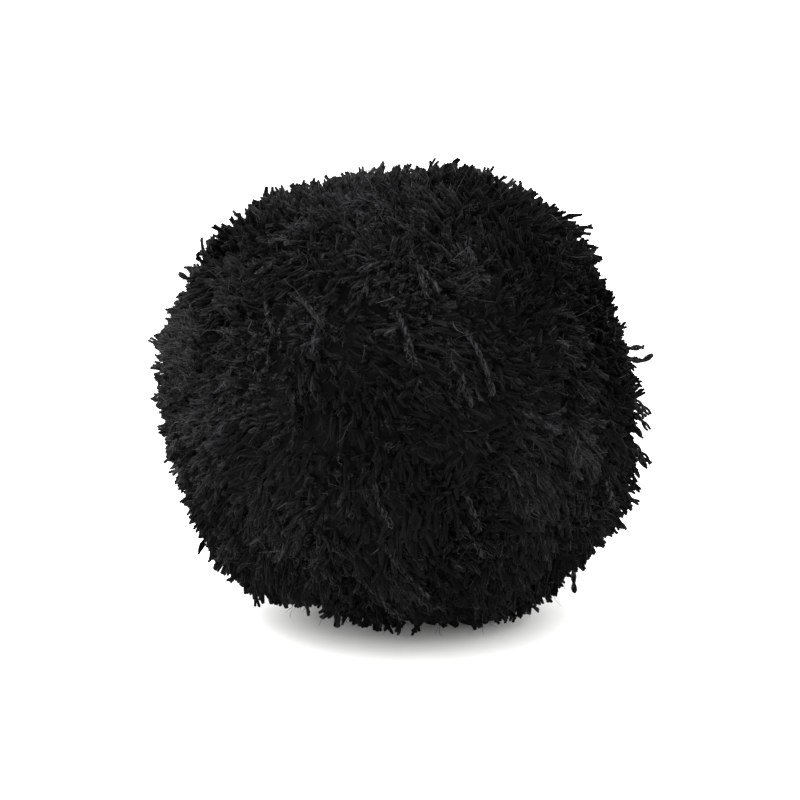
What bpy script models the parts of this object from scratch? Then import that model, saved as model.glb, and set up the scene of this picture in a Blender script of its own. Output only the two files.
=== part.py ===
"""Yarn pom pom: a ball of cut yarn ends that stand out all round from a waist tied inside it.

Metres, +Z up. The ball rests on z = 0 with its tied middle straight above the origin. The pile is one
solid: a dense inner ball, where the yarn is packed too tightly to part, and the locks of loose cut ends
that grow out of it. The ball has settled a little, so the locks under it are shorter and end level.
"""

import math
import random

import bmesh
import bpy
import numpy as np
from mathutils import Matrix, Quaternion, Vector

MM = 0.001

# The trimmed ball, before it settled, and how high its tied middle stands once it has.
BALL_WIDTH = 96.8 * MM
BALL_DEPTH = 95.0 * MM
BALL_HEIGHT = 93.2 * MM
RESTING_HEIGHT = 44.6 * MM

# Where the scissors left the ball fuller (rise above 0) or flatter. Azimuth 0 is +X and 90 is +Y.
SWELLS = [
    # name, azimuth, elevation, spread (degrees), rise (mm)
    ("right_upper_shoulder", 5, 64, 22, 3.0),
    ("right_flat", 0, 20, 13, -3.2),
    ("right_waist", 0, -3, 9, -1.2),
    ("right_lower_bulge", -3, -27, 12, 3.0),
    ("right_lower_shoulder", -14, -52, 13, 2.4),
    ("left_upper_shoulder", 172, 42, 22, 1.6),
    ("left_high_bulge", 178, 13, 9, 2.0),
    ("left_waist", 182, -14, 15, -1.6),
    ("left_lower_shoulder", 190, -44, 14, 2.4),
    ("left_lower_flat", 205, -70, 13, -1.8),
    ("crown_dip", 130, 72, 16, -1.8),
    ("front_lower_flat", 285, -68, 11, -1.2),
    ("front_bulge", 262, -12, 24, 1.6),
    ("front_upper_flat", 284, 38, 18, -1.4),
    ("back_right_bulge", 48, 8, 22, 2.0),
    ("back_flat", 92, -6, 18, -1.8),
    ("back_left_bulge", 132, 22, 22, 1.8),
    ("back_lower_bulge", 84, -46, 20, 1.4),
]

# The locks. LOCK_POINTS points spread over the ball are joined up into the cells that they grow from.
LOCK_POINTS = 263
LOCK_LENGTH = 12.0 * MM
LOCK_LENGTH_UNDERNEATH = 7.0 * MM
LOCK_UNEVENNESS = 1.1 * MM  # how much longer or shorter one lock is than its neighbours
LOCK_PROFILE = [
    # share of the length, width against the cell that far out
    (0.00, 0.90),
    (0.42, 0.77),
    (0.80, 0.69),
    (1.00, 0.46),
]
TIP_CROWN = 0.9 * MM  # how far the middle of a cut end stands out of its rim
FLOOR_TIP_WIDTH = 0.64  # a lock under the ball is pressed wide and level where it rests
RESTS_BELOW = 0.6 * MM  # a lock whose end would hang lower than this rests on the surface
CLEAR_OF_FLOOR = 2.4 * MM  # the others stop at least this high
DROOP = 0.20  # how far a lock's end hangs down, as a share of its length
COMB = 0.05  # how far it leans with its neighbours, round the ball
STRAY = 0.07  # how far it leans by itself
LOCK_TWIST = 16  # degrees that a lock may have turned about itself, either way, by its end

SHARP_FROM = 50  # degrees between two faces

SEED = 7
JOSTLE = 0.45  # how far the points of the even spiral are moved at random, as a share of their spacing
SETTLING_PASSES = 60
MIDDLE = Vector((0, 0, RESTING_HEIGHT))
DOWN = Vector((0, 0, -1))


def yarn_material():
    material = bpy.data.materials.new("black_acrylic_yarn")
    material.use_nodes = True
    shader = material.node_tree.nodes["Principled BSDF"]
    shader.inputs["Base Color"].default_value = (0.0095, 0.0095, 0.0100, 1)
    shader.inputs["Roughness"].default_value = 0.95
    shader.inputs["Metallic"].default_value = 0.0
    return material


def direction(azimuth, elevation):
    """A unit vector from two angles in degrees."""
    azimuth, elevation = math.radians(azimuth), math.radians(elevation)
    across = math.cos(elevation)
    return Vector((across * math.cos(azimuth), across * math.sin(azimuth), math.sin(elevation)))


def trimmed_reach(toward):
    """How far the cut ends reach from the tied middle, before the ball settled."""
    half = Vector((BALL_WIDTH, BALL_DEPTH, BALL_HEIGHT)) / 2
    reach = 1 / math.sqrt(sum((part / side) ** 2 for part, side in zip(toward, half)))
    for _, azimuth, elevation, spread, rise in SWELLS:
        away = math.degrees(toward.angle(direction(azimuth, elevation)))
        reach += rise * MM * math.exp(-((away / spread) ** 2))
    return reach


def floor_reach(toward):
    """How far it is from the tied middle to the surface that the ball rests on."""
    return RESTING_HEIGHT / -toward.z if toward.z < 0 else math.inf


def inner_reach(toward):
    """How far out the yarn is packed too tightly to part into locks."""
    return min(trimmed_reach(toward) - LOCK_LENGTH, floor_reach(toward) - LOCK_LENGTH_UNDERNEATH)


def even_directions(count):
    """Unit vectors spread evenly but in no pattern: a spiral, jostled, then left to push apart."""
    chance = np.random.default_rng(SEED)
    steps = np.arange(count) + 0.5
    height = 1 - 2 * steps / count
    turn = steps * math.pi * (3 - math.sqrt(5))
    across = np.sqrt(1 - height**2)
    points = np.stack([across * np.cos(turn), across * np.sin(turn), height], axis=1)
    spacing = math.sqrt(4 * math.pi / count)
    points += chance.normal(0, JOSTLE * spacing, points.shape)
    for _ in range(SETTLING_PASSES):
        points /= np.linalg.norm(points, axis=1, keepdims=True)
        apart = points[:, None] - points[None]
        distance = np.linalg.norm(apart, axis=2) + np.eye(count)
        push = apart / distance[..., None] * np.maximum(0, 1.25 * spacing - distance)[..., None]
        points += 0.25 * push.sum(axis=1)
    points /= np.linalg.norm(points, axis=1, keepdims=True)
    return [Vector(point) for point in points]


def cell_mesh():
    """A unit ball of just under 300 three- and four-sided cells, turned so that one faces straight down."""
    ball = bmesh.new()
    for point in even_directions(LOCK_POINTS):
        ball.verts.new(point)
    bmesh.ops.convex_hull(ball, input=ball.verts)
    bmesh.ops.join_triangles(
        ball,
        faces=ball.faces,
        angle_face_threshold=math.pi,
        angle_shape_threshold=math.pi,
    )
    lowest = min((face.calc_center_median() for face in ball.faces), key=lambda centre: centre.z)
    upright = lowest.rotation_difference(DOWN).to_matrix()
    bmesh.ops.rotate(ball, verts=ball.verts, cent=(0, 0, 0), matrix=upright)
    return ball


def lean_of(toward, length, chance):
    """How far to the side of straight out a lock's end hangs."""
    droop = DOWN - toward * toward.dot(DOWN)
    # Neighbours turn about nearly the same axis, which swings slowly from one part of the ball to another.
    comb = toward.cross(Vector((math.sin(3 * toward.z), 1, math.cos(2 * toward.x))))
    stray = Vector(chance.uniform(-1, 1) for _ in range(3))
    stray -= toward * toward.dot(stray)
    return length * (DROOP * droop + COMB * comb + STRAY * stray)


def kept_share(start, tip):
    """How much of its path a lock keeps: one under the ball ends on the surface, or well clear of it."""
    if tip.z > CLEAR_OF_FLOOR:
        return 1
    end = 0 if tip.z < RESTS_BELOW else CLEAR_OF_FLOOR
    return (start.z - end) / (start.z - tip.z)


def grow_lock(pile, root, chance):
    """Draws one cell of the inner ball out into a lock, a section at a time."""
    start = root.calc_center_median()
    toward = (start - MIDDLE).normalized()
    uneven = chance.uniform(-1, 1) * LOCK_UNEVENNESS
    length = trimmed_reach(toward) + uneven - (start - MIDDLE).length
    lean = lean_of(toward, length, chance)
    tip = start + toward * length + lean
    resting = tip.z < RESTS_BELOW
    kept = kept_share(start, tip)
    twist = math.radians(chance.uniform(-1, 1) * LOCK_TWIST)
    last_share, width, centre, face = 0, 1, start, root
    for share, next_width in LOCK_PROFILE:
        if resting and share == 1:
            next_width = FLOOR_TIP_WIDTH
        next_centre = start + kept * (toward * length * share + lean * share**2)
        spread = (next_centre - MIDDLE).length / (centre - MIDDLE).length
        grow = spread * next_width / width
        turn = Quaternion(toward, twist * (share - last_share))
        face = bmesh.ops.extrude_discrete_faces(pile, faces=[face])["faces"][0]
        for corner in face.verts:
            offset = turn @ (corner.co - centre) * grow
            if resting:
                offset.z *= 1 - share**2
            corner.co = next_centre + offset
        last_share, width, centre = share, next_width, next_centre
    if not resting:
        crown = bmesh.ops.poke(pile, faces=[face])["verts"][0]
        crown.co += (centre - start).normalized() * TIP_CROWN


def yarn_pile():
    """The whole ball as one closed mesh."""
    chance = random.Random(SEED)
    pile = cell_mesh()
    for vertex in pile.verts:
        toward = vertex.co.normalized()
        vertex.co = MIDDLE + toward * inner_reach(toward)
    for root in list(pile.faces):
        grow_lock(pile, root, chance)
    bmesh.ops.recalc_face_normals(pile, faces=pile.faces)
    mesh = bpy.data.meshes.new("yarn_pile")
    pile.to_mesh(mesh)
    pile.free()
    mesh.polygons.foreach_set("use_smooth", [True] * len(mesh.polygons))
    mesh.set_sharp_from_angle(angle=math.radians(SHARP_FROM))
    return mesh


def centre_over_origin(mesh):
    """Shifts the ball sideways so that its outline is centred on the origin."""
    for axis in range(2):
        places = [vertex.co[axis] for vertex in mesh.vertices]
        shift = Vector((0, 0, 0))
        shift[axis] = -(min(places) + max(places)) / 2
        mesh.transform(Matrix.Translation(shift))


def main():
    for old in list(bpy.data.objects):
        bpy.data.objects.remove(old)
    mesh = yarn_pile()
    centre_over_origin(mesh)
    mesh.materials.append(yarn_material())
    ball = bpy.data.objects.new("yarn_pile", mesh)
    bpy.context.scene.collection.objects.link(ball)


main()
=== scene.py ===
"""The looks of the black yarn pom pom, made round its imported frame: every cut end, its fuzz and the light."""

import math

import bmesh
import bpy
import numpy as np
from mathutils.kdtree import KDTree
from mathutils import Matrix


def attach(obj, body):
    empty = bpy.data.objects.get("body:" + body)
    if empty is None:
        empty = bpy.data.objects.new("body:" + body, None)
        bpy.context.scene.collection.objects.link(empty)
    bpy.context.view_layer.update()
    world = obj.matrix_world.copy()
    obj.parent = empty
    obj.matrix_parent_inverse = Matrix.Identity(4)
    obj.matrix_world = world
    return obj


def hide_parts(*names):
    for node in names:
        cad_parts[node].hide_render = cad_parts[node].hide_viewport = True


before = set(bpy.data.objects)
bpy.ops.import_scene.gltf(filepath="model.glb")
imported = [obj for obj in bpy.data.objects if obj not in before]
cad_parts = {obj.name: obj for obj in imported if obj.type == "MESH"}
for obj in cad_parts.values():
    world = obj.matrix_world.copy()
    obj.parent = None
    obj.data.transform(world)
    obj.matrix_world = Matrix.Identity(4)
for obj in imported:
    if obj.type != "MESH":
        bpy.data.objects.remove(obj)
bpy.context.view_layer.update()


# --- The cut yarn ends --------------------------------------------------------------------------------
# Black acrylic yarn, 1.4 mm thick, of two plies twisted together. It was wound round a former, tied tight
# about its waist, cut open at both edges and trimmed to a ball. Every end runs out from the tied middle,
# hangs down a little towards its tip, and clings to its neighbours in loose locks that part here and there.

MM = 0.001
chance = np.random.default_rng(20)

BALL_WIDTH, BALL_DEPTH, BALL_HEIGHT = 96.8 * MM, 95.0 * MM, 93.2 * MM
MIDDLE = np.array([0, 0, 44.6 * MM])
DOWN = np.array([0, 0, -1.0])

# Where the scissors left the ball fuller (rise above 0) or flatter. Azimuth 0 is +X and 90 is +Y.
SWELLS = [
    # name, azimuth, elevation, spread (degrees), rise (mm)
    ("right_upper_shoulder", 5, 64, 22, 3.0),
    ("right_flat", 0, 20, 13, -3.5),
    ("right_waist", 0, -6, 9, -2.5),
    ("right_lower_bulge", -3, -27, 12, 3.6),
    ("right_lower_shoulder", -14, -52, 13, 2.4),
    ("left_upper_shoulder", 172, 42, 22, 1.3),
    ("left_high_bulge", 178, 13, 9, 2.4),
    ("left_waist", 182, -14, 15, -1.3),
    ("left_lower_shoulder", 194, -48, 13, 1.9),
    ("left_lower_flat", 205, -70, 13, -1.8),
    ("crown_dip", 140, 70, 14, -1.0),
    ("front_lower_flat", 285, -68, 11, -1.2),
    ("front_bulge", 262, -12, 24, 1.6),
    ("front_upper_flat", 284, 38, 18, -1.4),
    ("right_upper_corner", 14, 40, 9, 3.0),
    ("right_upper_flat", 4, 12, 8, -1.0),
    ("left_upper_corner", 156, 56, 10, 2.0),
    ("left_upper_flat", 173, 25, 9, -1.5),
    ("left_underside", 228, -69, 11, -4.6),
    ("front_underside", 292, -74, 9, -1.3),
    ("back_right_bulge", 48, 8, 22, 2.0),
    ("back_flat", 92, -6, 18, -1.8),
    ("back_left_bulge", 132, 22, 22, 1.8),
    ("back_lower_bulge", 84, -46, 20, 1.4),
]

# Where the locks have parted and show a dark hollow: how far the ends lean away from each spot.
PARTINGS = [
    # name, azimuth, elevation, spread (degrees), lean
    ("over_the_low_lock", 269, -18, 7, 0.07),
    ("front_left", 244, -6, 7, 0.05),
    ("front_middle", 283, -3, 5, 0.04),
    ("front_low_right", 300, -26, 6, 0.06),
    ("front_crown", 281, 33, 7, 0.02),
    ("right_side", 326, 10, 8, 0.04),
    ("left_side", 200, 8, 6, 0.04),
    ("back_low", 84, -12, 7, 0.06),
    ("back_left", 148, 24, 7, 0.05),
    ("back_right", 38, 30, 7, 0.05),
    ("top", 95, 74, 6, 0.03),
]

# Locks that have been flattened over their neighbours: which way their ends lean, along +X and +Z.
FLATTENED = [
    # name, azimuth, elevation, spread (degrees), lean along +X, lean along +Z
    ("low_lock", 266, -27, 7, 0.18, -0.10),
    ("front_right_lock", 297, 10, 7, 0.16, -0.10),
    ("front_low_lock", 285, -14, 6, 0.08, -0.14),
    ("front_left_lock", 248, 38, 8, 0.12, -0.12),
    ("right_lock", 330, -12, 8, 0.03, -0.10),
    ("back_lock", 100, 20, 8, -0.10, -0.06),
]

# Single ends that the scissors missed. Each comes up at its root and has flopped over towards its tip. One
# that lies along the outside has come up to it early, by the rise.
MISSED = [
    # name, tip azimuth, tip elevation, tip reach (mm), root azimuth, root elevation, rise
    ("right_curled_up", 1, 19, 48.0, 0, 14, 1.0),
    ("right_upper", 1, 12, 50.2, 0, 15, 1.0),
    ("right_upper_thin", 358, 11, 51.6, 358, 11, 1.0),
    ("right_upper_short", 356, 11, 48.6, 356, 13, 1.0),
    ("right_middle", 357, -3, 50.4, 358, 8, 1.0),
    ("right_middle_near", 352, -2, 49.6, 354, 9, 1.0),
    ("right_hanging", 355, -6, 50.4, 356, 6, 1.0),
    ("right_hanging_near", 350, -6, 49.4, 352, 7, 1.0),
    ("right_low", 354, -13, 52.0, 356, -3, 1.0),
    ("right_low_near", 349, -13, 51.6, 352, -2, 1.0),
    ("right_low_short", 351, -16, 50.4, 354, -6, 1.0),
    ("right_low_corner", 340, -44, 52.2, 342, -34, 1.0),
    ("right_shoulder", 8, 36, 50.1, 8, 40, 1.0),
    ("top_right", 26, 58, 50.2, 24, 52, 1.0),
    ("left_shoulder", 173, 31, 50.6, 174, 35, 1.0),
    ("left_shoulder_under", 174, 29, 51.0, 175, 32, 1.0),
    ("left_middle", 182, 1, 49.3, 182, 6, 1.0),
    ("bottom_front", 271, -62, 47.8, 271, -54, 1.0),
    ("bottom_front_left", 239, -60, 47.8, 241, -52, 1.0),
    ("front_left_over", 235, 28, 47.2, 216, 42, 2.0),
    ("front_left_down", 247, 24, 46.6, 246, 46, 2.0),
    ("front_right_down", 293, 14, 47.2, 289, 40, 2.0),
    ("front_right_over", 310, 4, 48.4, 294, 14, 1.6),
    ("right_side_down", 336, -20, 49.2, 318, 2, 1.6),
    ("low_lock_over", 286, -46, 47.6, 254, -24, 2.2),
    ("low_lock_under", 281, -44, 47.2, 258, -22, 2.2),
    ("front_hanging", 292, -26, 48.0, 280, -8, 1.8),
    ("crown_curl", 283, 41, 46.3, 266, 60, 2.0),
    ("crown_curl_under", 279, 39, 46.3, 272, 66, 2.0),
    ("crown_hanging", 299, 47, 47.0, 301, 66, 2.0),
    ("front_middle_over", 274, 23, 47.5, 267, 43, 2.0),
    ("front_left_low", 269, -14, 49.4, 261, 0, 2.0),
    ("front_right_low", 290, -17, 48.4, 282, 2, 2.0),
    ("front_left_under", 249, 31, 47.8, 229, 43, 2.0),
    ("left_side_over", 224, 26, 48.2, 204, 25, 2.0),
    ("low_lock_left", 271, -48, 47.6, 250, -16, 2.2),
    ("low_lock_right", 279, -39, 48.0, 260, -12, 2.2),
    ("back_left_over", 120, 20, 48.6, 138, 38, 2.0),
    ("back_hanging", 84, -16, 47.8, 82, 8, 2.0),
    ("back_right_over", 40, 6, 49.0, 54, 26, 2.0),
    ("back_low", 100, -36, 48.6, 96, -16, 1.6),
    ("back_crown", 70, 52, 47.8, 40, 62, 1.8),
]

# The trimmed ends. The long ones stand a little proud of the rest, so more of each one shows.
LONG_ENDS, SHORT_ENDS = 420, 7800
ENDS = len(MISSED) + LONG_ENDS + SHORT_ENDS
ROOT_REACH = 30 * MM  # where they are drawn from: no light gets further in than that
LONG_TRIM = (0.3 * MM, 0.8 * MM)  # how far past the trimmed shape they reach, and the spread of that
SHORT_TRIM = (-0.4 * MM, 0.70 * MM)
LOCKS = 420
LOCK_TRIM = 0.7 * MM  # how much longer or shorter one lock is than the next
PART_DEPTH = 2.0 * MM  # how much lower the ends stand in a parting

# How far the ends lean, as shares of their reach.
LOCK_PULL = (0.0, 0.30)  # together, towards the middle of their lock
LOCK_LEAN = 0.085  # with their lock, each lock its own way
SWIRL = 0.055  # with the locks round theirs
SWIRL_PACES = (3, 5, 8)  # how quickly that changes from one part of the ball to another
DROOP = 0.10  # down
STRAY = 0.045  # each its own way
BEND = 2.0  # the power of the way along an end that its lean grows with
WAVE = 0.45 * MM  # how far an end waves about its line
WAVE_LENGTH = 11 * MM
FLOOR_CLEARANCE = 0.6 * MM  # how high the middle lines of the ends under the ball stop
LOWEST = 0.02 * MM  # the lowest that any corner may be

# How crowded tips are moved apart: how many spacings away others count, the step and how many times.
PUSHES = [(6.0, 0.012, 4), (3.0, 0.06, 6), (1.3, 0.28, 5)]


def direction(azimuth, elevation):
    """A unit vector from two angles in degrees."""
    azimuth, elevation = np.radians(azimuth), np.radians(elevation)
    across = np.cos(elevation)
    return np.stack([across * np.cos(azimuth), across * np.sin(azimuth), np.sin(elevation)], -1)


def unit(vectors):
    return vectors / np.linalg.norm(vectors, axis=-1, keepdims=True)


def degrees_from(toward, azimuth, elevation):
    return np.degrees(np.arccos(np.clip(toward @ direction(azimuth, elevation), -1, 1)))


def trimmed_reach(toward):
    """How far the cut ends reach from the tied middle along each unit vector."""
    reach = 1 / np.linalg.norm(toward / (np.array([BALL_WIDTH, BALL_DEPTH, BALL_HEIGHT]) / 2), axis=-1)
    for _, azimuth, elevation, spread, rise in SWELLS:
        reach += rise * MM * np.exp(-((degrees_from(toward, azimuth, elevation) / spread) ** 2))
    return reach


def spread_directions(count, jostle):
    """Unit vectors spread evenly over a ball, each moved at random by jostle times their spacing."""
    steps = np.arange(count) + 0.5
    height = 1 - 2 * steps / count
    turn = steps * math.pi * (3 - math.sqrt(5))
    across = np.sqrt(1 - height**2)
    even = np.stack([across * np.cos(turn), across * np.sin(turn), height], 1)
    return unit(even + chance.normal(0, jostle * math.sqrt(4 * math.pi / count), even.shape))


def across_part(vectors, toward):
    """The part of each vector that lies square to its direction."""
    return vectors - toward * np.sum(vectors * toward, -1, keepdims=True)


def lean_of_locks(toward, lock_toward, lock):
    """How far the ends lean with the lock that they cling to, and away from the partings."""
    pull = chance.uniform(*LOCK_PULL, LOCKS)[lock, None]
    lean = pull * (lock_toward[lock] - toward) + chance.normal(0, LOCK_LEAN, (LOCKS, 3))[lock]
    for pace in SWIRL_PACES:
        wander = chance.normal(0, pace, (3, 3))
        lean += SWIRL * np.sin(toward @ wander + chance.uniform(0, 2 * math.pi, 3))
    for _, azimuth, elevation, spread, amount in PARTINGS:
        away = degrees_from(toward, azimuth, elevation)[:, None]
        lean += amount * np.exp(-0.5 * (away / spread) ** 2) * unit(toward - direction(azimuth, elevation))
    for _, azimuth, elevation, spread, right, up in FLATTENED:
        away = degrees_from(toward, azimuth, elevation)[:, None]
        lean += np.exp(-0.5 * (away / spread) ** 2) * np.array([right, 0, up])
    return lean


def pushed_apart(toward):
    """Moves crowded tips apart, first from far and then from near, so that they cover the whole ball."""
    spacing = math.sqrt(4 * math.pi / len(toward))
    for spacings_away, step, times in PUSHES:
        reach = spacings_away * spacing
        for _ in range(times):
            tree = KDTree(len(toward))
            for index, place in enumerate(toward):
                tree.insert(place, index)
            tree.balance()
            near = [[other for _, other, _ in tree.find_range(place, reach)] for place in toward]
            at = np.repeat(np.arange(len(toward)), [len(others) for others in near])
            other = np.concatenate(near)
            at, other = at[at != other], other[at != other]
            apart = toward[at] - toward[other]
            gap = np.maximum(np.linalg.norm(apart, axis=1, keepdims=True), 0.1 * spacing)
            push = np.zeros_like(toward)
            np.add.at(push, at, apart / gap * (reach - gap))
            toward = unit(toward + step * push)
    return toward


group_sizes = (len(MISSED), LONG_ENDS, SHORT_ENDS)
missed, long, short = np.split(np.arange(ENDS), np.cumsum(group_sizes)[:-1])
trimmed = np.concatenate([long, short])
root_toward = np.concatenate(
    [
        [direction(*row[4:6]) for row in MISSED],
        spread_directions(LONG_ENDS, 0.3),
        spread_directions(SHORT_ENDS, 0.3),
    ]
)
lock_toward = spread_directions(LOCKS, 0.3)
lock = np.argmax(root_toward @ lock_toward.T, 1)
lean = DROOP * DOWN + lean_of_locks(root_toward, lock_toward, lock) + chance.normal(0, STRAY, (ENDS, 3))
tip_toward = pushed_apart(unit(root_toward + across_part(lean, root_toward)))
tip_toward[missed] = [direction(*row[1:3]) for row in MISSED]
lean = tip_toward / np.sum(tip_toward * root_toward, 1, keepdims=True) - root_toward

trim = np.concatenate([chance.normal(*LONG_TRIM, LONG_ENDS), chance.normal(*SHORT_TRIM, SHORT_ENDS)])
trim += chance.normal(0, LOCK_TRIM, LOCKS)[lock[trimmed]]
for _, azimuth, elevation, spread, _ in PARTINGS:
    trim -= PART_DEPTH * np.exp(-0.5 * (degrees_from(tip_toward[trimmed], azimuth, elevation) / spread) ** 2)
falls = np.maximum(-tip_toward[trimmed, 2], 1e-6)
reach = np.minimum(trimmed_reach(tip_toward[trimmed]) + trim, (MIDDLE[2] - FLOOR_CLEARANCE) / falls)
tip_reach = np.concatenate([[row[3] * MM for row in MISSED], reach])
rise = tip_reach - ROOT_REACH

early = np.ones(ENDS)
early[missed] = [row[6] for row in MISSED]

side = unit(np.cross(root_toward, chance.normal(0, 1, (ENDS, 3))))
other_side = np.cross(root_toward, side)
wave_phase = chance.uniform(0, 2 * math.pi, ENDS)
wave_size = WAVE * chance.uniform(0.2, 1.6, ENDS)


def along(share, which):
    """Points on the ends' middle lines. share is 0 at the root and 1 at the tip, one row for each end."""
    extra = (1,) * (share.ndim - 1)

    def rows(values):
        return values[which].reshape(-1, *extra, *values.shape[1:])

    inside = np.clip(share, 0, 1)
    toward = unit(rows(root_toward) + rows(lean) * inside[..., None] ** BEND)
    out = ROOT_REACH + rows(rise) * (1 - (1 - inside) ** rows(early) + share - inside)
    phase = rows(wave_phase) + out * 2 * math.pi / WAVE_LENGTH
    swing = (rows(wave_size) * share)[..., None]
    wave = rows(side) * np.cos(phase)[..., None] + rows(other_side) * np.sin(1.3 * phase)[..., None]
    return MIDDLE + toward * out[..., None] + swing * wave


walk = along(np.tile(np.linspace(0, 1, 24), (ENDS, 1)), np.arange(ENDS))
end_length = np.linalg.norm(np.diff(walk, axis=1), axis=2).sum(1)

# The two plies of an end wind round each other and come a little loose where they were cut.
PLIES = 2
PLY_RADIUS = 0.38 * MM
PLY_GIRTH = 2 * math.pi * PLY_RADIUS
PLY_OUT = 0.30 * MM  # how far each ply's middle line is from the end's
TWIST_LENGTH = 4.2 * MM
MOST_TURN = 1 / 7  # of a full turn, from one ring of corners to the next, so that no ply is pinched flat
BLOOM, BLOOM_LENGTH = 0.1, 1.6 * MM  # how much further out the plies are at the tip, and from where on
PLY_UNEVENNESS = 0.14 * MM  # how much further one ply reaches than the other
PLY_STRAY = 0.06 * MM
TIP_WIDTH = 0.88  # the last ring against the others: the scissors leave a ply nearly blunt

# How far before the tip each ring of corners stands, in mm. The more of an end shows, the closer they are.
MISSED_RINGS = [18.0, 16.0, *np.arange(14.2, 0.3, -0.5), 0.15]
LONG_RINGS = [12.0, 9.0, 7.0, 5.6, 4.6, 3.8, 3.1, 2.4, 1.7, 1.0, 0.15]
SHORT_RINGS = [4.6, 1.9, 0.15]
ROOTED = 20.0  # where the ring at the root counts as standing


def tube_faces(stations, columns):
    """The faces of one tube that ends in a point, as corner numbers, and their places on its own square.

    stations says how far along the tube each ring of corners stands, from 0 at its root. The point is at 1.
    """
    last, tip = (len(stations) - 1) * columns, len(stations) * columns
    faces = [[*reversed(range(columns))]]
    places = [[(column / columns, 0.0) for column in reversed(range(columns))]]
    for column in range(columns):
        after = (column + 1) % columns
        left, right = column / columns, (column + 1) / columns
        for ring, (bottom, top) in enumerate(zip(stations, stations[1:])):
            low, high = ring * columns, (ring + 1) * columns
            faces.append([low + column, low + after, high + after, high + column])
            places.append([(left, bottom), (right, bottom), (right, top), (left, top)])
        faces.append([last + column, last + after, tip])
        places.append([(left, stations[-1]), (right, stations[-1]), ((left + right) / 2, 1.0)])
    return faces, places


def squares(values, count):
    """Lays count unit squares out in a grid, with a margin round each, and puts values in every one."""
    grid = math.ceil(math.sqrt(count))
    which = np.arange(count)
    corner = np.stack([which % grid, which // grid], 1)[:, None]
    return ((corner + 0.04 + 0.92 * values[None]) / grid).reshape(-1, 2)


def repeated_mesh(name, points, faces, maps, values):
    """One mesh of many copies of a pattern of faces. points holds a row of places for each copy."""
    count, each = points.shape[:2]
    corners = np.concatenate(faces)
    sides = np.array([len(face) for face in faces])
    mesh = bpy.data.meshes.new(name)
    mesh.vertices.add(count * each)
    mesh.vertices.foreach_set("co", points.ravel())
    mesh.loops.add(count * len(corners))
    mesh.loops.foreach_set("vertex_index", (corners + each * np.arange(count)[:, None]).ravel())
    mesh.polygons.add(count * len(sides))
    starts = np.cumsum(np.tile(sides, count)) - np.tile(sides, count)
    mesh.polygons.foreach_set("loop_start", starts)
    mesh.update(calc_edges=True)
    mesh.validate()
    mesh.polygons.foreach_set("use_smooth", np.ones(len(mesh.polygons), bool))
    for map_name, places in maps.items():
        mesh.uv_layers.new(name=map_name).uv.foreach_set("vector", places.ravel())
    for value_name, rows in values.items():
        value = mesh.attributes.new(value_name, "FLOAT", "POINT")
        value.data.foreach_set("value", (rows * np.ones((count, each))).ravel())
    piece = bpy.data.objects.new(name, mesh)
    bpy.context.scene.collection.objects.link(piece)
    return piece


def square_frame(tangent, reference):
    """Two directions square to each tangent, the first as near as can be to the reference."""
    first = unit(across_part(reference, tangent))
    return first, np.cross(tangent, first)


def tube_points(middle, radius, columns, reference):
    """Corners of tubes that follow the points of middle, one row for each. The last point is the tip."""
    tangent = unit(np.gradient(middle, axis=1))
    first, second = square_frame(tangent, reference)
    angle = 2 * math.pi * np.arange(columns) / columns
    ring = np.cos(angle)[:, None] * first[:, :, None] + np.sin(angle)[:, None] * second[:, :, None]
    corners = middle[:, :, None] + ring * radius[..., None, None]
    return np.concatenate([corners[:, :-1].reshape(len(middle), -1, 3), middle[:, -1:]], 1)


def ply_middles(which, rings):
    """The middle lines of the plies of the chosen ends, one row for each ply."""
    length = end_length[which][:, None]
    before_tip = np.concatenate([length, np.repeat([np.array([*rings, 0.0]) * MM], len(length), 0)], 1)
    share = 1 - before_tip / length
    centre = along(share, which)
    nudge = 0.01
    tangent = unit(along(share + nudge, which) - along(share - nudge, which))
    first, second = square_frame(tangent, side[which][:, None])
    turns = np.minimum(-np.diff(before_tip, axis=1) / TWIST_LENGTH, MOST_TURN)
    turned = np.concatenate([np.zeros_like(length), np.cumsum(turns, 1)], 1)
    near_tip = np.exp(-before_tip / BLOOM_LENGTH)
    ply = (np.arange(PLIES) / PLIES)[None, :, None]
    angle = 2 * math.pi * (strand_phase[which][:, None, None] + turned[:, None] + ply)
    out = PLY_OUT * (1 + bloom[which][:, None, None] * near_tip[:, None]) * strand_size[which][:, None, None]
    middle = centre[:, None] + (out * np.cos(angle))[..., None] * first[:, None]
    middle += (out * np.sin(angle))[..., None] * second[:, None]
    middle += ply_stray[which][:, :, None] * near_tip[:, None, :, None]
    return middle.reshape(-1, share.shape[1], 3)


def colour(code):
    """An sRGB hex value as the linear colour that a shader takes."""
    parts = [int(code[at : at + 2], 16) / 255 for at in (1, 3, 5)]
    return *((part / 12.92 if part <= 0.04045 else ((part + 0.055) / 1.055) ** 2.4) for part in parts), 1


def add_node(tree, kind, values=None, links=None, **settings):
    """Adds a node: its own settings, the values of its free sockets and the outputs linked to the rest."""
    node = tree.nodes.new(kind)
    for name, value in settings.items():
        setattr(node, name, value)
    for socket, value in (values or {}).items():
        node.inputs[socket].default_value = value
    for socket, output in (links or {}).items():
        tree.links.new(output, node.inputs[socket])
    return node


# Dyed acrylic fibre, spun and plied. Most strands are nearly featureless; where one has been rubbed, its fibres
# have lifted, and these are painted light grey as a painted glint where they catch the light. The yarn further
# in is painted lighter, as painted light for the light that passes through the fibres and gets in between the
# strands, which solid tubes can't let in.
# The second colour is painted light: the yarn far in is painted lighter than at the cut surface.
BLACK_YARN = ("#070707", "#131314")  # at the cut surface, and far in
# The lifted fibres are painted light grey: a painted glint where they catch the light.
LIFTED_FIBRE_PAINTED_GLINT = "#2b2b2d"
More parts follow.
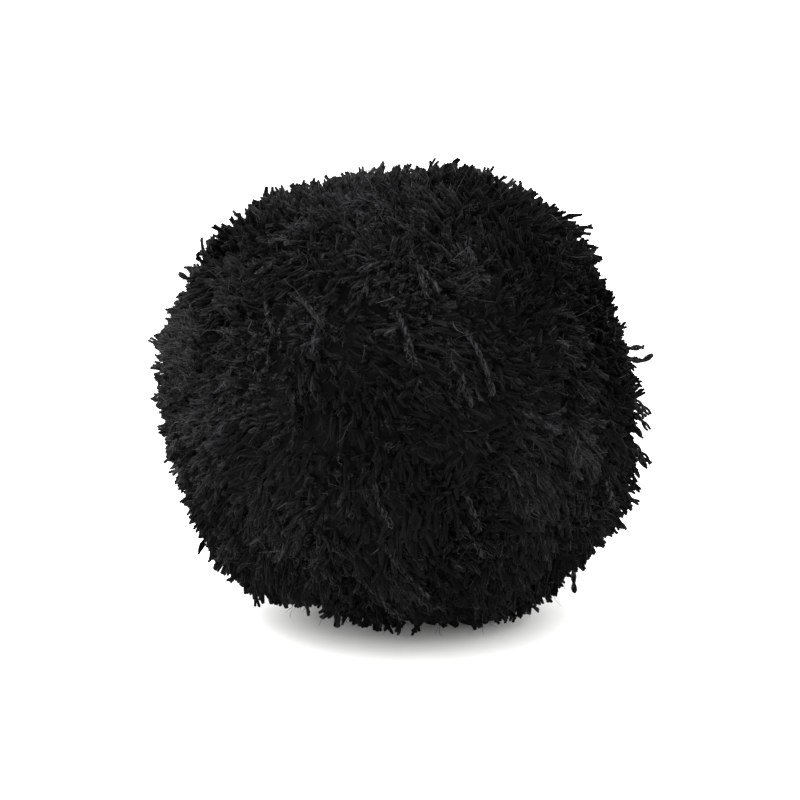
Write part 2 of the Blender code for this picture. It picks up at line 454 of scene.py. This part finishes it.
# Painted light: how far in the yarn's painted lightening has gone most of the way.
PAINTED_LIGHT_REACH = 3.4 * MM  # how far in it has become most of the way lighter
OWN_PLACE = [7.3, 3.1]  # how far apart two plies' places in the pattern are, in mm

# How rubbed the strands are, from 0 to 1: each by itself, lock by lock and patch by patch. On top of that,
# painted light makes the crown and the left lighter and the underside and the right darker, side by side. The
# ends that the scissors missed stand out, lie in the light and get a painted highlight: the highest shade of
# all.
STRAND_SHADE = 0.32
LOCK_SHADE = 0.28
PATCH_SHADE = 0.16
# Painted light: which way the yarn is painted lighter, and how much.
PAINTED_LIGHT_TOWARD, PAINTED_LIGHT_AMOUNT = np.array([-0.5, -0.2, 0.85]), 0.40
# Painted highlight: the shade of the missed ends, which lie out in the light.
MISSED_PAINTED_HIGHLIGHT = 0.85
LEAST_SHADE = -0.1


def spun_acrylic():
    """Near black and matt, with fine wisps along it that gather in tufts and are painted light as a painted
    glint, and painted lighter further in as painted light.
    """
    material = bpy.data.materials.new("spun_black_acrylic")
    material.use_nodes = True
    tree = material.node_tree
    shader = tree.nodes["Principled BSDF"]
    place = add_node(tree, "ShaderNodeUVMap", uv_map="YarnUV")
    # A fibre is 0.02 mm thick. The wisps are drawn 0.2 mm thick and 0.8 mm apart, so that they show.
    fibre_places = add_node(
        tree,
        "ShaderNodeMapping",
        values={"Scale": (1 / 0.8, 1 / 1.8, 1)},
        links={"Vector": place.outputs["UV"]},
    )
    fibres = add_node(
        tree,
        "ShaderNodeTexNoise",
        values={"Scale": 1.0, "Detail": 2.0, "Roughness": 0.5, "Distortion": 0.4},
        links={"Vector": fibre_places.outputs["Vector"]},
    )
    off_line = add_node(
        tree, "ShaderNodeMath", operation="SUBTRACT", values={1: 0.5}, links={0: fibres.outputs["Fac"]}
    )
    beside = add_node(tree, "ShaderNodeMath", operation="ABSOLUTE", links={0: off_line.outputs["Value"]})
    wisps = add_node(
        tree,
        "ShaderNodeMapRange",
        values={"From Min": 0.0, "From Max": 0.08, "To Min": 1.0, "To Max": 0.0},
        links={"Value": beside.outputs["Value"]},
    )
    # They gather in tufts about 1.5 mm long, most of them on the strands with the highest shade.
    tuft_places = add_node(
        tree,
        "ShaderNodeMapping",
        values={"Scale": (1 / 0.9, 1 / 1.5, 1)},
        links={"Vector": place.outputs["UV"]},
    )
    tufts = add_node(
        tree,
        "ShaderNodeTexNoise",
        values={"Scale": 1.0, "Detail": 2.0},
        links={"Vector": tuft_places.outputs["Vector"]},
    )
    shade = add_node(tree, "ShaderNodeAttribute", attribute_name="strand_shade")
    gathered = add_node(
        tree,
        "ShaderNodeMath",
        operation="MULTIPLY_ADD",
        values={1: 1.5},
        links={0: tufts.outputs["Fac"], 2: shade.outputs["Fac"]},
    )
    lifted = add_node(
        tree,
        "ShaderNodeMapRange",
        values={"From Min": 0.9, "From Max": 1.7},
        links={"Value": gathered.outputs["Value"]},
    )
    showing = add_node(
        tree,
        "ShaderNodeMath",
        operation="MULTIPLY",
        links={0: wisps.outputs["Result"], 1: lifted.outputs["Result"]},
    )
    # Painted light: the body is painted lighter the further in it lies, and where the strand is rubbed.
    depth = add_node(tree, "ShaderNodeAttribute", attribute_name="painted_light_depth")
    rubbed_and_painted_light = add_node(
        tree,
        "ShaderNodeMath",
        operation="MULTIPLY_ADD",
        use_clamp=True,
        values={1: 0.3},
        links={0: shade.outputs["Fac"], 2: depth.outputs["Fac"]},
    )
    body = add_node(tree, "ShaderNodeMix", data_type="RGBA", links={"Factor": rubbed_and_painted_light.outputs["Value"]})
    body.inputs["A"].default_value = colour(BLACK_YARN[0])
    body.inputs["B"].default_value = colour(BLACK_YARN[1])
    # Painted glint: the lifted wisps are painted light over the body.
    dye = add_node(tree, "ShaderNodeMix", data_type="RGBA", links={"Factor": showing.outputs["Value"]})
    tree.links.new(body.outputs["Result"], dye.inputs["A"])
    dye.inputs["B"].default_value = colour(LIFTED_FIBRE_PAINTED_GLINT)
    tree.links.new(dye.outputs["Result"], shader.inputs["Base Color"])
    rough = add_node(
        tree,
        "ShaderNodeMapRange",
        values={"To Min": 0.75, "To Max": 0.95},
        links={"Value": fibres.outputs["Fac"]},
    )
    tree.links.new(rough.outputs["Result"], shader.inputs["Roughness"])
    bump = add_node(
        tree,
        "ShaderNodeBump",
        values={"Strength": 1.0, "Distance": 0.1 * MM},
        links={"Height": fibres.outputs["Fac"]},
    )
    tree.links.new(bump.outputs["Normal"], shader.inputs["Normal"])
    shader.inputs["IOR"].default_value = 1.49
    shader.inputs["Specular IOR Level"].default_value = 0.015
    shader.inputs["Sheen Weight"].default_value = 0.01
    shader.inputs["Sheen Roughness"].default_value = 0.5
    return material


strand_phase = chance.uniform(0, 1, ENDS)
strand_size = chance.normal(1, 0.08, ENDS)
strand_shade = STRAND_SHADE * chance.uniform(0, 1, ENDS) ** 4 + chance.normal(0, LOCK_SHADE, LOCKS)[lock]
for pace in SWIRL_PACES:
    patches = root_toward @ chance.normal(0, pace, 3) + chance.uniform(0, 2 * math.pi)
    strand_shade += PATCH_SHADE * np.sin(patches)
# Painted light: lighter towards the crown and the left, darker towards the underside and the right.
strand_shade += PAINTED_LIGHT_AMOUNT * root_toward @ PAINTED_LIGHT_TOWARD
strand_shade = np.maximum(strand_shade, LEAST_SHADE)
# Painted highlight on the missed ends, which lie out in the light.
strand_shade[missed] = MISSED_PAINTED_HIGHLIGHT
bloom = chance.uniform(0, 2 * BLOOM, ENDS)
along_strand = np.concatenate([root_toward[:, None]] * PLIES, 1)
ply_stray = chance.normal(0, PLY_STRAY, (ENDS, PLIES, 3))
ply_stray += along_strand * chance.normal(0, PLY_UNEVENNESS, (ENDS, PLIES, 1))
yarn = spun_acrylic()


def make_ends(name, chosen, rings):
    """One piece of yarn ends, with a ring of corners at each of the rings, which are mm before the tip."""
    columns = 3
    middle = ply_middles(chosen, rings)
    before_tip = np.array([ROOTED, *rings])
    faces, places = tube_faces(1 - before_tip / ROOTED, columns)
    flat = np.array([place for face in places for place in face])
    radius = PLY_RADIUS * np.array([*[1.0] * len(rings), TIP_WIDTH, 0.0])
    reference = np.repeat(side[chosen], PLIES, 0)[:, None]
    own_place = np.repeat(np.arange(len(middle)), len(flat))[:, None] * OWN_PLACE
    maps = {
        "YarnUV": np.tile(flat * [PLY_GIRTH / MM, ROOTED], (len(middle), 1)) + own_place,
        "OFBake": squares(flat, len(middle)),
    }
    points = tube_points(middle, np.tile(radius, (len(middle), 1)), columns, reference)
    points[..., 2] = np.maximum(points[..., 2], LOWEST)
    shades = np.repeat(strand_shade[chosen], PLIES) + chance.uniform(-0.05, 0.05, len(middle))
    # Painted light: how far in each corner lies, which the yarn material paints lighter.
    out = np.linalg.norm(points - MIDDLE, axis=2)
    further_in = trimmed_reach(unit(points - MIDDLE)) - out
    depths = 1 - np.exp(-further_in / PAINTED_LIGHT_REACH)
    ends = repeated_mesh(name, points, faces, maps, {"strand_shade": shades[:, None], "painted_light_depth": depths})
    ends.data.materials.append(yarn)
    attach(ends, "root")
    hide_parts("yarn_pile")


make_ends("missed_yarn_ends", missed, MISSED_RINGS)
make_ends("long_yarn_ends_1", long[0::2], LONG_RINGS)
make_ends("long_yarn_ends_2", long[1::2], LONG_RINGS)
for lot in range(3):
    make_ends(f"short_yarn_ends_{lot + 1}", short[lot::3], SHORT_RINGS)


# --- The fuzz -----------------------------------------------------------------------------------------
# Loose ends of the spun acrylic fibres stand off every strand, mostly where it was cut. A real fibre is
# 0.02 mm thick; these are drawn 0.12 mm thick so that they show, and there are fewer of them.

FIBRE_RADIUS = 0.06 * MM
FUZZY_LENGTH = (0.6 * MM, 5.0 * MM)  # how far before the tip a fibre may come loose
FUZZ_START = 0.62 * MM  # how far off the strand's middle line it does
# The fibres are painted grey, a painted glint for the light that they catch.
FUZZ_PAINTED_GLINT = ("#080808", "#3a3a3c")
# Fibres are lighter on rubbed strands, and on strands given painted light on the crown and the left.
FUZZ_RUBBED_AND_PAINTED_LIGHT = 0.12  # how much lighter the fibres of a rubbed strand are
LEAST_FUZZ = 0.08  # how much fuzz a strand has that isn't rubbed at all, against the fuzziest
FUZZ_FREE = 4.0 * MM  # strands that end lower than this are pressed smooth


def loose_fibre():
    """Single acrylic fibres: smooth, and painted lighter than the yarn, a painted glint for the light that gets
    round and through them.
    """
    material = bpy.data.materials.new("loose_acrylic_fibre")
    material.use_nodes = True
    tree = material.node_tree
    shader = tree.nodes["Principled BSDF"]
    place = add_node(tree, "ShaderNodeUVMap", uv_map="YarnUV")
    kinks = add_node(
        tree,
        "ShaderNodeTexNoise",
        values={"Scale": 2.0, "Detail": 2.0},
        links={"Vector": place.outputs["UV"]},
    )
    shade = add_node(tree, "ShaderNodeAttribute", attribute_name="strand_shade")
    dye = add_node(
        tree,
        "ShaderNodeMix",
        data_type="RGBA",
        links={"Factor": shade.outputs["Fac"]},
    )
    dye.inputs["A"].default_value = colour(FUZZ_PAINTED_GLINT[0])
    dye.inputs["B"].default_value = colour(FUZZ_PAINTED_GLINT[1])
    tree.links.new(dye.outputs["Result"], shader.inputs["Base Color"])
    rough = add_node(
        tree,
        "ShaderNodeMapRange",
        values={"To Min": 0.45, "To Max": 0.7},
        links={"Value": kinks.outputs["Fac"]},
    )
    tree.links.new(rough.outputs["Result"], shader.inputs["Roughness"])
    bump = add_node(
        tree,
        "ShaderNodeBump",
        values={"Strength": 0.5, "Distance": 0.01 * MM},
        links={"Height": kinks.outputs["Fac"]},
    )
    tree.links.new(bump.outputs["Normal"], shader.inputs["Normal"])
    shader.inputs["IOR"].default_value = 1.49
    shader.inputs["Specular IOR Level"].default_value = 0.2
    return material


fibre = loose_fibre()
fuzziness = LEAST_FUZZ + np.clip(strand_shade, 0, 1) ** 2
fuzziness[long] *= 2
fuzziness[missed] /= 2
fuzziness *= MIDDLE[2] + tip_toward[:, 2] * tip_reach > FUZZ_FREE
fuzziness /= fuzziness.sum()


def make_fuzz(name, count, steps, length, spread, waviness, lightest):
    """One piece of loose fibres. Each comes loose from an end picked at random, most from the fuzziest.

    spread is how far aside they leave it, against how far ahead. lightest is the shade of the lightest one.
    """
    owner = chance.choice(ENDS, count, p=fuzziness)
    before_tip = chance.uniform(*FUZZY_LENGTH, count)
    share = (1 - before_tip / end_length[owner])[:, None]
    start = along(share, owner)[:, 0]
    ahead = unit(along(share + 0.01, owner)[:, 0] - start)
    aside = unit(across_part(chance.normal(0, 1, (count, 3)), ahead))
    across = np.cross(ahead, aside)
    start = start + aside * FUZZ_START
    leave = ahead * chance.uniform(0.5, 1.0, (count, 1)) + aside * chance.uniform(0.0, spread, (count, 1))
    leave += across * chance.normal(0, 0.5 * spread, (count, 1))
    reach = chance.uniform(*length, count)[:, None, None]
    stage = np.linspace(0, 1, steps + 1)[None, :, None]
    turn = stage * chance.uniform(0.5, 1.3, (count, 1, 1)) + chance.uniform(0, 1, (count, 1, 1))
    turn *= 2 * math.pi
    wave = across[:, None] * np.sin(turn) + aside[:, None] * np.cos(0.8 * turn)
    middle = start[:, None] + reach * (leave[:, None] * stage + waviness * wave)
    faces, places = tube_faces(stage[0, :-1, 0], 3)
    flat = np.array([place for face in places for place in face])
    own = np.repeat(np.arange(count), len(flat))[:, None] * 1.7
    maps = {
        "YarnUV": np.tile(flat, (count, 1)) * [0.25, 3.0] + own,
        "OFBake": squares(flat, count),
    }
    # Painted glint, lighter still where the strand is rubbed or has painted light.
    shades = lightest * chance.uniform(0, 1, count) ** 4 + FUZZ_RUBBED_AND_PAINTED_LIGHT * strand_shade[owner]
    thin = np.tile(FIBRE_RADIUS * (1 - 0.5 * stage[0, :, 0]), (count, 1))
    points = tube_points(middle, thin, 3, np.roll(unit(middle - MIDDLE), 1, axis=2))
    points[..., 2] = np.maximum(points[..., 2], LOWEST)
    fuzz = repeated_mesh(name, points, faces, maps, {"strand_shade": shades[:, None]})
    fuzz.data.materials.append(fibre)
    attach(fuzz, "root")
    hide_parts("yarn_pile")


for lot in range(3):
    make_fuzz(
        f"felted_fibres_{lot + 1}",
        count=10000,
        steps=3,
        length=(1.2 * MM, 2.8 * MM),
        spread=0.55,
        waviness=0.16,
        lightest=0.6,
    )
make_fuzz(
    "long_fibres",
    count=1400,
    steps=6,
    length=(2.5 * MM, 5.5 * MM),
    spread=1.0,
    waviness=0.16,
    lightest=1.0,
)


# --- The packed middle ----------------------------------------------------------------------------------
# Further in, the same black yarn is squeezed so tightly by the tie that its strands can't be told apart. It
# shows only at the bottom of the partings, as an uneven felted ground that the cut ends run out of.

PACKED_BELOW = 4.4 * MM  # how far in from the trimmed shape it starts
LUMP = 0.5 * MM  # how uneven it is
# Painted light: the packed middle is painted lighter than the cut tips, on the same scale as the yarn further
# in.
PACKED_PAINTED_LIGHT = 0.5  # how much lighter it is, on the yarn's scale from 0 at the cut surface to 1 far in

middle_mesh = bpy.data.meshes.new("packed_middle")
ball = bmesh.new()
bmesh.ops.create_icosphere(ball, subdivisions=5, radius=1)
for vertex in ball.verts:
    toward = np.array(vertex.co)
    out = trimmed_reach(toward) - PACKED_BELOW + chance.normal(0, LUMP)
    out = min(out, (MIDDLE[2] - PACKED_BELOW) / max(-toward[2], 1e-6))
    vertex.co = MIDDLE + toward * out
ball.to_mesh(middle_mesh)
ball.free()
# Painted light: how much lighter the packed middle is painted.
painted_light_inside = middle_mesh.attributes.new("painted_light_depth", "FLOAT", "POINT")
painted_light_inside.data.foreach_set("value", np.full(len(middle_mesh.vertices), PACKED_PAINTED_LIGHT))
# Each face takes its places, in mm, from the two axes that it faces least.
places = middle_mesh.uv_layers.new(name="YarnUV").uv
for face in middle_mesh.polygons:
    across, up = sorted(range(3), key=lambda axis: abs(face.normal[axis]))[:2]
    for corner in face.loop_indices:
        spot = middle_mesh.vertices[middle_mesh.loops[corner].vertex_index].co / MM
        places[corner].vector = (spot[across], spot[up])
middle_mesh.materials.append(yarn)
packed = bpy.data.objects.new("packed_middle", middle_mesh)
bpy.context.scene.collection.objects.link(packed)
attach(packed, "root")
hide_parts("yarn_pile")


# --- The floor ----------------------------------------------------------------------------------------
# A plain sheet of pale matt card, pressed from paper pulp. It lies level under the ball and is wide enough to
# fill the view.

FLOOR_SIZE = 8.0
PALE_CARD = ("#f2f2f0", "#f5f5f3")


def matt_card():
    """Pressed paper pulp: white and matt, with a faint cloudiness and a fine tooth."""
    material = bpy.data.materials.new("matt_pale_card")
    material.use_nodes = True
    tree = material.node_tree
    shader = tree.nodes["Principled BSDF"]
    place = add_node(tree, "ShaderNodeTexCoord")
    # Pulp clouds are about 8 mm across.
    clouds = add_node(
        tree,
        "ShaderNodeTexNoise",
        values={"Scale": 1 / (8 * MM), "Detail": 3.0},
        links={"Vector": place.outputs["Object"]},
    )
    pulp = add_node(tree, "ShaderNodeMix", data_type="RGBA", links={"Factor": clouds.outputs["Fac"]})
    pulp.inputs["A"].default_value = colour(PALE_CARD[0])
    pulp.inputs["B"].default_value = colour(PALE_CARD[1])
    tree.links.new(pulp.outputs["Result"], shader.inputs["Base Color"])
    rough = add_node(
        tree,
        "ShaderNodeMapRange",
        values={"To Min": 0.85, "To Max": 0.95},
        links={"Value": clouds.outputs["Fac"]},
    )
    tree.links.new(rough.outputs["Result"], shader.inputs["Roughness"])
    # The tooth of the paper is about 0.4 mm.
    tooth = add_node(
        tree,
        "ShaderNodeTexNoise",
        values={"Scale": 1 / (0.4 * MM), "Detail": 2.0},
        links={"Vector": place.outputs["Object"]},
    )
    bump = add_node(
        tree,
        "ShaderNodeBump",
        values={"Strength": 0.3, "Distance": 0.02 * MM},
        links={"Height": tooth.outputs["Fac"]},
    )
    tree.links.new(bump.outputs["Normal"], shader.inputs["Normal"])
    shader.inputs["IOR"].default_value = 1.5
    return material


floor_mesh = bpy.data.meshes.new("floor")
half = FLOOR_SIZE / 2
floor_mesh.from_pydata(
    [(-half, -half, 0), (half, -half, 0), (half, half, 0), (-half, half, 0)], [], [(0, 1, 2, 3)]
)
floor_mesh.materials.append(matt_card())
floor = bpy.data.objects.new("floor", floor_mesh)
bpy.context.scene.collection.objects.link(floor)


# --- The light ----------------------------------------------------------------------------------------
# A white studio whose walls are brighter above and to the left. One broad soft box hangs on the same side,
# above the ball, and is turned towards it.

BRIGHT_SIDE = (-0.78, 0.22, 0.6)
WALLS = (1.45, 4.4)

world = bpy.data.worlds.new("white_studio")
bpy.context.scene.world = world
world.use_nodes = True
sky = world.node_tree
toward_walls = add_node(sky, "ShaderNodeTexCoord")
facing = add_node(
    sky,
    "ShaderNodeVectorMath",
    operation="DOT_PRODUCT",
    values={1: BRIGHT_SIDE},
    links={0: toward_walls.outputs["Generated"]},
)
brightness = add_node(
    sky,
    "ShaderNodeMapRange",
    values={"From Min": -1.0, "From Max": 1.0, "To Min": WALLS[0], "To Max": WALLS[1]},
    links={"Value": facing.outputs["Value"]},
)
sky.links.new(brightness.outputs["Result"], sky.nodes["Background"].inputs["Strength"])
sky.nodes["Background"].inputs["Color"].default_value = (1, 1, 1, 1)

soft_box = bpy.data.lights.new("soft_box", "AREA")
soft_box.shape = "DISK"
soft_box.size = 2.2
soft_box.energy = 21
lamp = bpy.data.objects.new("soft_box", soft_box)
LAMP_PLACE = np.array([-0.6, 0.1, 2.0])
tilt = math.acos(LAMP_PLACE[2] / np.linalg.norm(LAMP_PLACE))
lamp.location = LAMP_PLACE
lamp.rotation_euler = (tilt, 0, math.atan2(LAMP_PLACE[0], -LAMP_PLACE[1]))
bpy.context.scene.collection.objects.link(lamp)


# --- The camera ---------------------------------------------------------------------------------------
# A long lens, so that the ball isn't drawn out of shape. It looks at the front from a little above.

CAMERA_RISE = math.radians(15)
CAMERA_DISTANCE = 0.89
LENS = 200
AIM = np.array([0.2 * MM, 0, 44.5 * MM])

lens = bpy.data.cameras.new("camera")
lens.lens = LENS
lens.clip_start = 0.01
camera = bpy.data.objects.new("camera", lens)
back = np.array([0, -math.cos(CAMERA_RISE), math.sin(CAMERA_RISE)])
camera.location = AIM + CAMERA_DISTANCE * back
camera.rotation_euler = (math.pi / 2 - CAMERA_RISE, 0, 0)
bpy.context.scene.collection.objects.link(camera)
bpy.context.scene.camera = camera
bpy.context.scene.view_settings.view_transform = "Standard"
